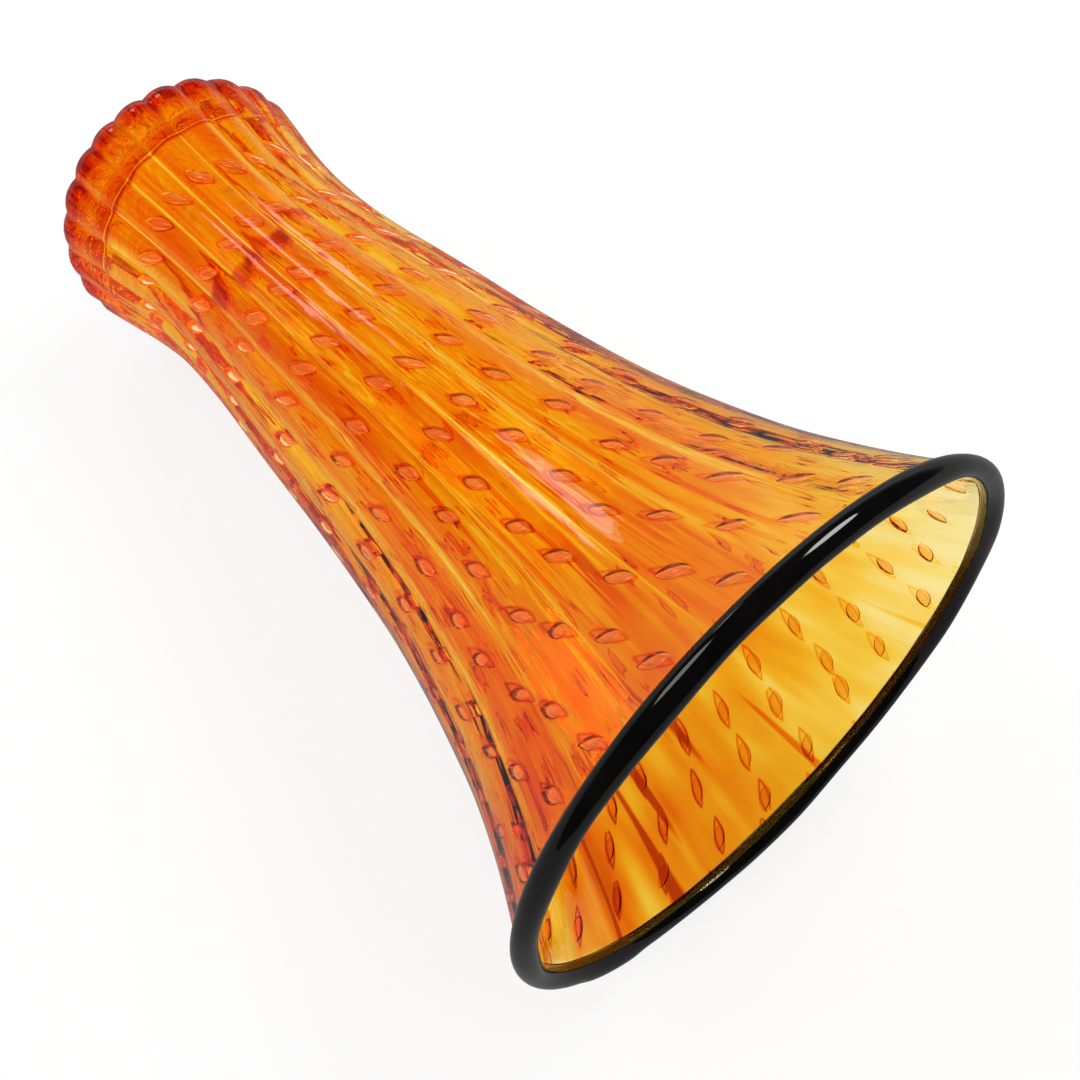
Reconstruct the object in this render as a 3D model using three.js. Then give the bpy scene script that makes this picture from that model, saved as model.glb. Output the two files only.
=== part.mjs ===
// A trumpet vase of amber bubble glass, standing on its foot, in millimetres with +Z up.
// The origin is the centre of the ring that it stands on.
//
// A glassblower makes it in three lots of glass, and each is a solid here:
// gather      the first gather, blown hollow, with rows of pits pressed into its skin
// casing      the second gather over it, ribbed by an optic mould, which closes each pit
//             into an air bubble and carries the thick base
// lip_wrap    a trail of black glass laid round the rim, its end lapped over its start

import * as THREE from "three";

// Outer form, measured over the crests of the ribs. Each rise starts at the station below.
const standingRadius = 43;
const footRadius = 49.6;
const footRise = 9;
const ankleRadius = 42.4;
const ankleRise = 42;
const bodyRadius = 46.8;
const bodyRise = 79.3;
const shoulderRadius = 59.9;
const shoulderRise = 94.4;
const flareRadius = 69.4;
const flareRise = 33.1;
const lipRadius = 87.2;
const lipRise = 38.8;

// Ribs left by the optic mould
const ribCount = 24;
const ribDepthAtFoot = 2;
const ribDepthAtLip = 0.6;

// Underside: a flat ring, a pushed-up middle and the ground mark where the iron came off
const standingRingWidth = 7;
const kickDepth = 3;
const pontilRadius = 11;
const pontilDepth = 1.2;

// Walls: the casing's from the bottom of a rib to its bore, the gather's from skin to bore
const casingWallAtFoot = 3.6;
const casingWallAtLip = 0.9;
const gatherWallAtFoot = 3.4;
const gatherWallAtLip = 1.5;
const baseThickness = 13;
const gatherFloor = 4.5;
const floorCorner = 5;
const layerGap = 0.35;

// Pits that trap the bubbles, in rows that draw apart down the vase
const pitDepthAtFoot = 1.5;
const pitDepthAtLip = 0.6;
const firstRowBelowLip = 9.5;
const firstRowPitch = 11.5;
const rowPitchGrowth = 1.14;
const longestRowPitch = 30;
const lowestRowAboveCorner = 16;
const pitShareOfPitch = 0.5;
const swirledRows = 3;

// Lip wrap
const wrapRadius = 3.4;
const wrapClearance = 0.3;
const wrapSeatDepth = 1.4;
const lapSwell = 0.55;
const lapWidth = 14;
const lapAzimuth = 95.5;

// How finely each round is drawn
const stepsPerRib = 4;
const stepsPerPit = 3;
const wrapSegments = 48;
const wrapArcSteps = 10;

const { lerp, clamp, smoothstep, degToRad, euclideanModulo } = THREE.MathUtils;

// Stations of the outer form, each with the number of rows drawn from it to the next
const foot = { z: footRise, r: footRadius, rows: 2 };
const ankle = { z: foot.z + ankleRise, r: ankleRadius, rows: 3 };
const body = { z: ankle.z + bodyRise, r: bodyRadius, rows: 2 };
const shoulder = { z: body.z + shoulderRise, r: shoulderRadius, rows: 2 };
const flare = { z: shoulder.z + flareRise, r: flareRadius, rows: 3 };
const lip = { z: flare.z + lipRise, r: lipRadius };
const stations = [foot, ankle, body, shoulder, flare, lip];

// A smooth curve of radius against height through points. It flares on at its upper end.
function curveThrough(points) {
  const slope = (a, b) => (b.r - a.r) / (b.z - a.z);
  const tangents = points.map((here, i) => {
    const before = points[i - 1];
    const after = points[i + 1];
    if (!before) return slope(here, after);
    if (!after) return 1.25 * slope(before, here);
    const below = here.z - before.z;
    const above = after.z - here.z;
    return (slope(before, here) * above + slope(here, after) * below) / (below + above);
  });
  return (z) => {
    let i = 0;
    while (i < points.length - 2 && z > points[i + 1].z) i += 1;
    const a = points[i];
    const b = points[i + 1];
    const span = b.z - a.z;
    const t = (z - a.z) / span;
    const t2 = t * t;
    const t3 = t2 * t;
    const ends = (2 * t3 - 3 * t2 + 1) * a.r + (3 * t2 - 2 * t3) * b.r;
    return ends + span * ((t3 - 2 * t2 + t) * tangents[i] + (t3 - t2) * tangents[i + 1]);
  };
}

const crestRadius = curveThrough(stations);
const alongHeight = (atFoot, atLip) => (z) => lerp(atFoot, atLip, clamp(z / lip.z, 0, 1));
const casingWall = alongHeight(casingWallAtFoot, casingWallAtLip);
const gatherWall = alongHeight(gatherWallAtFoot, gatherWallAtLip);
const pitDepth = alongHeight(pitDepthAtFoot, pitDepthAtLip);
const ribDepth = (z) => lerp(ribDepthAtFoot, ribDepthAtLip, smoothstep(z, body.z, lip.z));
const casingBore = (z) => crestRadius(z) - ribDepth(z) - casingWall(z);
const gatherBore = (z) => casingBore(z) - layerGap - gatherWall(z);

// The rim's own directions, since the glass leans outwards where it enters the wrap.
// A rim point is given by its distances from the middle of the wall, out and up the wall.
const rimLean = Math.atan(crestRadius(lip.z) - crestRadius(lip.z - 1));
const upWall = new THREE.Vector2(Math.sin(rimLean), Math.cos(rimLean));
const outWall = new THREE.Vector2(Math.cos(rimLean), -Math.sin(rimLean));
const rimMiddle = new THREE.Vector2((lip.r + gatherBore(lip.z)) / 2, lip.z);
const halfRim = ((lip.r - gatherBore(lip.z)) / 2) * Math.cos(rimLean);
const seamDepth = (lip.r - casingBore(lip.z)) * Math.cos(rimLean);
const rimTop = wrapSeatDepth - wrapClearance;

function rimPoint(out, up) {
  const at = rimMiddle.clone().addScaledVector(outWall, out).addScaledVector(upWall, up);
  return { r: at.x, z: at.y };
}

// Pit rows from the lip down. The casing's bore and the gather's skin both bend at the same
// heights, so that the gap between them stays even.
const cornerTop = baseThickness + floorCorner;
const pitRows = [];
let rowHeight = lip.z - firstRowBelowLip;
let rowPitch = firstRowPitch;
while (rowHeight > cornerTop + lowestRowAboveCorner) {
  pitRows.push({ z: rowHeight, length: rowPitch * pitShareOfPitch });
  rowHeight -= rowPitch;
  rowPitch = Math.min(rowPitch * rowPitchGrowth, longestRowPitch);
}
const seamTop = rimPoint(halfRim - seamDepth, rimTop);
const bends = pitRows.map((row) => ({ r: casingBore(row.z), z: row.z })).reverse();
const seamNodes = [{ r: casingBore(cornerTop), z: cornerTop }, ...bends, seamTop];

function seamRadius(z) {
  let i = 0;
  while (i < seamNodes.length - 2 && z > seamNodes[i + 1].z) i += 1;
  const a = seamNodes[i];
  const b = seamNodes[i + 1];
  return lerp(a.r, b.r, (z - a.z) / (b.z - a.z));
}

// The seam between casing and gather as an outline, drawn from the axis up to the rim.
// The gather's side of it is moved in and up by the gap.
function seam(inset, heights) {
  const wall = seamRadius(cornerTop) - inset;
  const low = baseThickness + inset;
  return [
    { r: 0, z: low },
    { r: wall - floorCorner, z: low },
    { r: wall, z: cornerTop },
    ...heights.map((z) => ({ r: seamRadius(z) - inset, z })),
    { r: seamTop.r - inset, z: seamTop.z },
  ];
}

// Turns an outline into a closed body round +Z. shape(point, angle, column) gives the
// radius and height that a point of the outline has on each of the body's meridians.
function turned(name, colour, outline, segments, shape) {
  const points = outline.map((p) => new THREE.Vector2(p.r, p.z));
  const geometry = new THREE.LatheGeometry(points, segments);
  const position = geometry.attributes.position;
  for (let i = 0; i < position.count; i += 1) {
    const column = Math.floor(i / points.length) % segments;
    const angle = (column / segments) * 2 * Math.PI;
    const { r, z } = shape(outline[i % points.length], angle, column);
    position.setXYZ(i, r * Math.cos(angle), r * Math.sin(angle), z);
  }
  geometry.computeVertexNormals();
  const material = new THREE.MeshStandardMaterial({ color: colour, roughness: 0.06, metalness: 0 });
  const mesh = new THREE.Mesh(geometry, material);
  mesh.name = name;
  return mesh;
}

function makeCasing() {
  const ringInner = standingRadius - standingRingWidth;
  const outline = [
    { r: 0, z: kickDepth + pontilDepth },
    { r: pontilRadius, z: kickDepth },
    { r: ringInner, z: 0 },
    { r: standingRadius, z: 0, ribbed: true },
  ];
  for (const turn of [Math.PI / 6, Math.PI / 3]) {
    const r = standingRadius + (footRadius - standingRadius) * Math.sin(turn);
    outline.push({ r, z: footRise * (1 - Math.cos(turn)), ribbed: true });
  }
  for (const [i, below] of stations.slice(0, -1).entries()) {
    for (let row = 0; row < below.rows; row += 1) {
      const z = lerp(below.z, stations[i + 1].z, row / below.rows);
      outline.push({ r: crestRadius(z), z, ribbed: true });
    }
  }
  outline.push({ ...rimPoint(halfRim, rimTop), ribbed: true });
  outline.push(...seam(0, bends.map((p) => p.z)).reverse());
  // Ribs are round lobes that meet in a narrow groove.
  const groove = (angle) => 1 - Math.abs(Math.cos((ribCount * angle) / 2));
  return turned("casing", 0xf07a10, outline, ribCount * stepsPerRib, (p, angle) => {
    return { r: p.ribbed ? p.r - ribDepth(p.z) * groove(angle) : p.r, z: p.z };
  });
}

function makeGather() {
  const heights = [];
  const shiftAt = new Map();
  for (const [index, row] of pitRows.entries()) {
    heights.push(row.z + row.length / 2, row.z, row.z - row.length / 2);
    shiftAt.set(row.z, Math.max(0, swirledRows - index));
  }
  const outline = seam(layerGap, heights.reverse());
  outline.push(rimPoint(-halfRim, rimTop));
  // The bore bends at every second pit row, and at each one where they are far apart.
  for (const [index, row] of pitRows.entries()) {
    const farApart = row.length === longestRowPitch * pitShareOfPitch;
    if (index % 2 || farApart) outline.push({ r: gatherBore(row.z), z: row.z });
  }
  const floor = baseThickness + layerGap + gatherFloor;
  const boreFoot = gatherBore(floor + floorCorner);
  outline.push({ r: boreFoot, z: floor + floorCorner });
  outline.push({ r: boreFoot - floorCorner * 0.3, z: floor + floorCorner * 0.3 });
  outline.push({ r: boreFoot - floorCorner, z: floor }, { r: 0, z: floor });
  return turned("gather", 0xe85d00, outline, ribCount * stepsPerPit, (p, angle, column) => {
    const onRow = shiftAt.has(p.z);
    const inPit = onRow && (column + shiftAt.get(p.z)) % stepsPerPit === 0;
    return { r: inPit ? p.r - pitDepth(p.z) : p.r, z: p.z };
  });
}

// The wrap's section is a round bead with a slot that seats on the rim.
function makeLipWrap() {
  const halfSlot = halfRim + wrapClearance;
  const slotFoot = Math.sqrt(wrapRadius ** 2 - halfSlot ** 2);
  const start = Math.atan2(-slotFoot, halfSlot);
  const section = [];
  for (let step = 0; step <= wrapArcSteps; step += 1) {
    const turn = lerp(start, Math.PI - start, step / wrapArcSteps);
    section.push({ out: wrapRadius * Math.cos(turn), up: wrapRadius * Math.sin(turn) });
  }
  section.push({ out: -halfSlot, up: wrapSeatDepth, slot: true });
  section.push({ out: halfSlot, up: wrapSeatDepth, slot: true });
  section.push(section[0]);
  const outline = section.map((p) => ({ ...p, ...rimPoint(p.out, p.up) }));
  return turned("lip_wrap", 0x0b0c0d, outline, wrapSegments, (p, angle) => {
    if (p.slot || p.up < 0) return p;
    const turn = angle - degToRad(lapAzimuth);
    const away = Math.abs(euclideanModulo(turn + Math.PI, 2 * Math.PI) - Math.PI);
    const lapEnd = degToRad(lapWidth);
    const swell = 1 + (lapSwell * (1 - smoothstep(away, lapEnd / 4, lapEnd))) / wrapRadius;
    return rimPoint(p.out * swell, p.up * swell);
  });
}

const vase = new THREE.Group();
vase.add(makeCasing(), makeGather(), makeLipWrap());

export default vase;
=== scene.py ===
import math

import bmesh
import bpy
from mathutils import Matrix, Vector


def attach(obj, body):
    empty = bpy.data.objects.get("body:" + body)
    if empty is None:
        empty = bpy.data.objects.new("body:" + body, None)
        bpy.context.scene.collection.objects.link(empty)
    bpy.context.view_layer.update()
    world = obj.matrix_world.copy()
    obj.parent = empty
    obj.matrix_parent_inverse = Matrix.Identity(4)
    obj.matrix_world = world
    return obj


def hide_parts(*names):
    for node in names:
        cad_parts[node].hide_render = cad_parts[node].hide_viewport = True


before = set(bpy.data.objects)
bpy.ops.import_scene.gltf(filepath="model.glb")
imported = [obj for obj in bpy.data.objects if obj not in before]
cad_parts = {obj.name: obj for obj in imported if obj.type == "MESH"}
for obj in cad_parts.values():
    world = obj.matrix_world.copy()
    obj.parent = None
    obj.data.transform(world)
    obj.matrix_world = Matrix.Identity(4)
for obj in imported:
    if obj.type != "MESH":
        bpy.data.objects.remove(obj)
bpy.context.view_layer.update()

# A trumpet vase of amber bubble glass with a black lip trail. Sizes are in millimetres, as
# in the part's source, and every mesh is made in metres.
MM = 0.001

# Outer form over the crests of the ribs, as (height, radius)
STATIONS = ((9.0, 49.6), (51.0, 42.4), (130.3, 46.8), (224.7, 59.9), (257.8, 69.4), (296.6, 87.2))
FOOT_HEIGHT, FOOT_RADIUS = STATIONS[0]
BODY_HEIGHT = STATIONS[2][0]
LIP_HEIGHT, LIP_RADIUS = STATIONS[-1]
RIBS = 24
SEGMENTS = RIBS * 12
RIB_DEPTHS = ((0.0, 1.8), (20.0, 1.7), (60.0, 1.3), (130.0, 0.9), (220.0, 0.35), (296.6, 0.25))

# Underside
STANDING_RADIUS, RING_WIDTH = 43.0, 7.0
KICK_DEPTH, PONTIL_RADIUS, PONTIL_DEPTH = 3.0, 11.0, 1.2

# Walls at the foot and at the lip: casing under the ribs, then gather
CASING_RIB = (2.0, 0.6)
CASING_WALL = (3.6, 0.9)
GATHER_WALL = (3.75, 1.85)
BORE_FLOOR, BORE_CORNER = 17.85, 5.0

# How far the blown surface is out of true, and the waves that the ribs leave in the bore
SKIN_UNEVEN, BORE_UNEVEN, BORE_WAVE = 0.35, 0.55, 0.18
SKIN_INSET, LINING_INSET = 0.2, 0.1

# Rings of the outer skin, of the gather's skin and of the bore, between foot and lip
OUTER_RINGS, GATHER_RINGS, BORE_RINGS = 96, 90, 70

# Bubble rows from the lip down
FIRST_ROW, FIRST_PITCH, PITCH_GROWTH, LONGEST_PITCH, LOWEST_ROW = 9.5, 11.5, 1.14, 30.0, 34.0
SWIRLED_ROWS, SWIRL_STEP = 3, 1.0 / 3.0
NO_ROW = 20.0

# One bubble: its size across, and how far it strays from its place along the vase and, in
# radians, round it
BUBBLE_WIDTH, BUBBLE_DEPTH = 3.9, 2.0
WANDER_ALONG, WANDER_ROUND = 5.0, 0.06

# Lip trail
TRAIL_RADIUS = 3.4
TRAIL_LAP = math.radians(95.5)

# The side away from the key softbox, on which the amber is painted deepest as painted shade; the lit side is
# painted paler
SHADED_SIDE = math.radians(75.0)

# The side on which the painted groove light and the streaks of colour are strongest
STRONG_LINES_SIDE = math.radians(-17.5)

# Depth of amber in one wall, from the foot to the lip. The gather carries it. The casing over
# the bubbles is nearly clear, but for the foot, which is coloured through.
AMBER_DEPTHS = (
    (0.0, 1.9), (8.0, 1.8), (15.0, 1.3), (25.0, 1.12), (70.0, 1.08), (130.0, 1.0), (200.0, 1.05),
    (255.0, 1.05), (285.0, 0.95), (296.6, 0.85))
CASING_SHARE = ((0.0, 1.0), (13.0, 1.0), (20.0, 0.12), (296.6, 0.12))

# How far the gather's coloured skin lies under the bubbles' seam at the foot and at the lip, and
# how far it stays from the bore
SKIN_UNDER_SEAM = (1.95, 1.2)
SKIN_OVER_BORE = 0.35


def lerp(a, b, t):
    return a + (b - a) * t


def smooth(t):
    t = min(max(t, 0.0), 1.0)
    return t * t * (3.0 - 2.0 * t)


def along(table, z):
    """A value between the entries of a table of (height, value)."""
    for (z0, a), (z1, b) in zip(table, table[1:]):
        if z <= z1:
            return lerp(a, b, max(z - z0, 0.0) / (z1 - z0))
    return table[-1][1]


def linear(code):
    """An sRGB hex colour as linear red, green, blue and alpha."""
    parts = [int(code[i:i + 2], 16) / 255.0 for i in (1, 3, 5)]
    return tuple(c / 12.92 if c <= 0.04045 else ((c + 0.055) / 1.055) ** 2.4 for c in parts) + (1.0,)


def add(tree, kind, inputs=(), stops=(), **settings):
    """Adds a node, sets its properties, and sets or links its inputs, in order or by name.

    A node given as an input stands for its first output. Stops are those of a colour ramp, each
    a position and an sRGB hex colour.
    """
    node = tree.nodes.new(kind)
    for name, value in settings.items():
        setattr(node, name, value)
    if stops:
        elements = node.color_ramp.elements
        while len(elements) < len(stops):
            elements.new(0.5)
        for element, (position, code) in zip(elements, stops):
            element.position = position
            element.color = linear(code)
    for name, value in inputs.items() if isinstance(inputs, dict) else enumerate(inputs):
        if isinstance(value, bpy.types.Node):
            value = value.outputs[0]
        if isinstance(value, bpy.types.NodeSocket):
            tree.links.new(value, node.inputs[name])
        else:
            node.inputs[name].default_value = value
    return node


# Form of the glass

def crest(z):
    """Radius over the crests at a height: a smooth curve through the stations."""
    slopes = [(b[1] - a[1]) / (b[0] - a[0]) for a, b in zip(STATIONS, STATIONS[1:])]
    tangents = [slopes[0]]
    for i in range(1, len(STATIONS) - 1):
        below = STATIONS[i][0] - STATIONS[i - 1][0]
        above = STATIONS[i + 1][0] - STATIONS[i][0]
        tangents.append((slopes[i - 1] * above + slopes[i] * below) / (below + above))
    tangents.append(1.25 * slopes[-1])
    i = 0
    while i < len(STATIONS) - 2 and z > STATIONS[i + 1][0]:
        i += 1
    (z0, r0), (z1, r1) = STATIONS[i], STATIONS[i + 1]
    span = z1 - z0
    t = (z - z0) / span
    ends = (2 * t ** 3 - 3 * t ** 2 + 1) * r0 + (3 * t ** 2 - 2 * t ** 3) * r1
    return ends + span * ((t ** 3 - 2 * t ** 2 + t) * tangents[i] + (t ** 3 - t ** 2) * tangents[i + 1])


def share(z):
    """How far up the vase a height is, from 0 to 1."""
    return min(max(z / LIP_HEIGHT, 0.0), 1.0)


def seam(z):
    """Radius where the casing was laid over the gather, and where the bubbles are."""
    rib = lerp(*CASING_RIB, smooth((z - BODY_HEIGHT) / (LIP_HEIGHT - BODY_HEIGHT)))
    return crest(z) - rib - lerp(*CASING_WALL, share(z))


def bore(z):
    """Radius of the inside."""
    return seam(z) - lerp(*GATHER_WALL, share(z))


def bubble_rows():
    """Heights of the rows of bubbles and the space below each, from the lip down."""
    rows = []
    z, pitch = LIP_HEIGHT - FIRST_ROW, FIRST_PITCH
    while z > LOWEST_ROW:
        rows.append((z, pitch))
        z -= pitch
        pitch = min(pitch * PITCH_GROWTH, LONGEST_PITCH)
    return rows


ROWS = bubble_rows()


def row_at(z):
    """The number of the bubble row at a height, with a fraction between rows."""
    for number, (top, pitch) in enumerate(ROWS):
        if z > top - pitch:
            return number + (top - z) / pitch
    return len(ROWS) + 1.0


RIM_LEAN = math.atan(crest(LIP_HEIGHT) - crest(LIP_HEIGHT - 1.0))
UP_WALL = Vector((math.sin(RIM_LEAN), math.cos(RIM_LEAN)))
OUT_WALL = Vector((math.cos(RIM_LEAN), -math.sin(RIM_LEAN)))
RIM_MIDDLE = Vector(((LIP_RADIUS + bore(LIP_HEIGHT)) / 2.0, LIP_HEIGHT))
HALF_RIM = (LIP_RADIUS - bore(LIP_HEIGHT)) / 2.0 * math.cos(RIM_LEAN)


def spot(r, z, push=(1.0, 0.0), **more):
    """One point of an outline, the way it is pushed, and what its ring gets."""
    return {"place": (r * MM, 0.0, z * MM), "push": (push[0], 0.0, push[1]), "more": more}


def skin(r, z):
    """A point of the outside, set in a little, so that the lumps stay inside the part's form."""
    rib = along(RIB_DEPTHS, z)
    amber = along(AMBER_DEPTHS, z) * along(CASING_SHARE, z)
    return spot(r - SKIN_INSET, z, rib=rib * MM, uneven=SKIN_UNEVEN * MM, colour=amber, row=row_at(z))


def lining(r, z):
    """A point of the bore, or of the gather's own skin along it."""
    return spot(r - LINING_INSET, z, ghost=BORE_WAVE * MM, uneven=BORE_UNEVEN * MM)


def glass_outline():
    """The whole glass, from the middle of the underside round the rim to the bore's floor."""
    ring_inner = STANDING_RADIUS - RING_WIDTH
    under = 0.4
    points = []
    for t in (0.0, 0.35, 0.7, 0.9, 1.0):
        rise = KICK_DEPTH + PONTIL_DEPTH * (1.0 - t * t)
        points.append(spot(PONTIL_RADIUS * t, rise, colour=under, row=NO_ROW))
    for t in (0.1, 0.3, 0.5, 0.7, 0.85, 0.95, 1.0):
        kick = KICK_DEPTH * (1.0 - smooth(t))
        points.append(spot(lerp(PONTIL_RADIUS, ring_inner, t), kick, colour=under, row=NO_ROW))
    points.append(spot(lerp(ring_inner, STANDING_RADIUS, 0.5), 0.0, colour=under, row=NO_ROW))
    for step in range(9):
        turn = step / 9.0 * math.pi / 2.0
        r = lerp(STANDING_RADIUS, FOOT_RADIUS, math.sin(turn))
        points.append(skin(r, FOOT_HEIGHT * (1.0 - math.cos(turn))))
    for step in range(OUTER_RINGS):
        z = lerp(FOOT_HEIGHT, LIP_HEIGHT - 1.0, step / (OUTER_RINGS - 1))
        points.append(skin(crest(z), z))
    for turn in (0.15, 0.5, 0.85):
        out = HALF_RIM * math.cos(turn * math.pi)
        at = RIM_MIDDLE + OUT_WALL * out + UP_WALL * (0.6 + 0.5 * math.sin(turn * math.pi))
        points.append(spot(at.x, at.y))
    top = BORE_FLOOR + BORE_CORNER
    for step in range(BORE_RINGS):
        z = lerp(LIP_HEIGHT - 0.6, top, (step / (BORE_RINGS - 1)) ** 0.9)
        points.append(lining(bore(z), z))
    inner = bore(top) - BORE_CORNER
    for step in range(1, 9):
        turn = step / 8.0 * math.pi / 2.0
        r = inner + BORE_CORNER * math.cos(turn)
        points.append(spot(r, top - BORE_CORNER * math.sin(turn)))
    for t in (0.75, 0.5, 0.25, 0.0):
        points.append(spot(inner * t, BORE_FLOOR - 0.5 * (1.0 - t * t)))
    return points


def gather_outline():
    """The amber gather inside the glass: its skin from under the floor to the rim, and back."""
    low, high = BORE_FLOOR - 3.6, BORE_FLOOR - 0.8
    top = BORE_FLOOR + BORE_CORNER
    wall = seam(top) - SKIN_UNDER_SEAM[0]
    points = [spot(wall * t, low, colour=0.3, row=NO_ROW) for t in (0.0, 0.3, 0.6, 0.8)]
    for step in range(GATHER_RINGS):
        z = lerp(low + 0.6, LIP_HEIGHT - 1.2, step / (GATHER_RINGS - 1))
        r = min(seam(z), seam(top)) if z < top else seam(z)
        points.append(spot(
            r - lerp(*SKIN_UNDER_SEAM, share(z)), z, uneven=lerp(0.3, 0.45, share(z)) * MM,
            colour=along(AMBER_DEPTHS, z), row=row_at(z)))
    for step in range(BORE_RINGS):
        z = lerp(LIP_HEIGHT - 1.0, top, (step / (BORE_RINGS - 1)) ** 0.9)
        points.append(lining(bore(z) + SKIN_OVER_BORE, z))
    inner = bore(top) - BORE_CORNER
    for step in range(1, 6):
        turn = step / 5.0 * math.pi / 2.0
        reach = BORE_CORNER + SKIN_OVER_BORE
        points.append(spot(inner + reach * math.cos(turn), top - (top - high) * math.sin(turn)))
    points += [spot(inner * t, high) for t in (0.7, 0.35, 0.0)]
    return points


def trail_outline():
    """The lip trail's round section. Its end is lapped over its start, on the upper side."""
    points = []
    for step in range(29):
        turn = 2.0 * math.pi * step / 28.0
        push = OUT_WALL * math.cos(turn) + UP_WALL * math.sin(turn)
        at = RIM_MIDDLE + push * (TRAIL_RADIUS - 0.25)
        lap = 0.55 * max(0.0, math.sin(turn + 0.3))
        inward = max(0.0, -math.cos(turn))
        points.append(spot(at.x, at.y, push, lap=lap * MM, uneven=(0.3 + 1.2 * inward) * MM))
    return points


# Geometry trees

def new_tree(name, sizes):
    """A geometry tree with named inputs, and the sockets that give them."""
    tree = bpy.data.node_groups.new(name, "GeometryNodeTree")
    tree.interface.new_socket("Geometry", in_out="OUTPUT", socket_type="NodeSocketGeometry")
    tree.interface.new_socket("Geometry", in_out="INPUT", socket_type="NodeSocketGeometry")
    for label, value in sizes.items():
        kind = "NodeSocketInt" if isinstance(value, int) else "NodeSocketFloat"
        tree.interface.new_socket(label, in_out="INPUT", socket_type=kind).default_value = value
    return tree, add(tree, "NodeGroupInput").outputs


def end_tree(tree, geometry, material):
    """Closes a geometry tree with real meshes in one material."""
    solid = add(tree, "GeometryNodeRealizeInstances", {"Geometry": geometry})
    dressed = add(tree, "GeometryNodeSetMaterial", {"Geometry": solid, "Material": material})
    add(tree, "NodeGroupOutput", {"Geometry": dressed})


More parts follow.
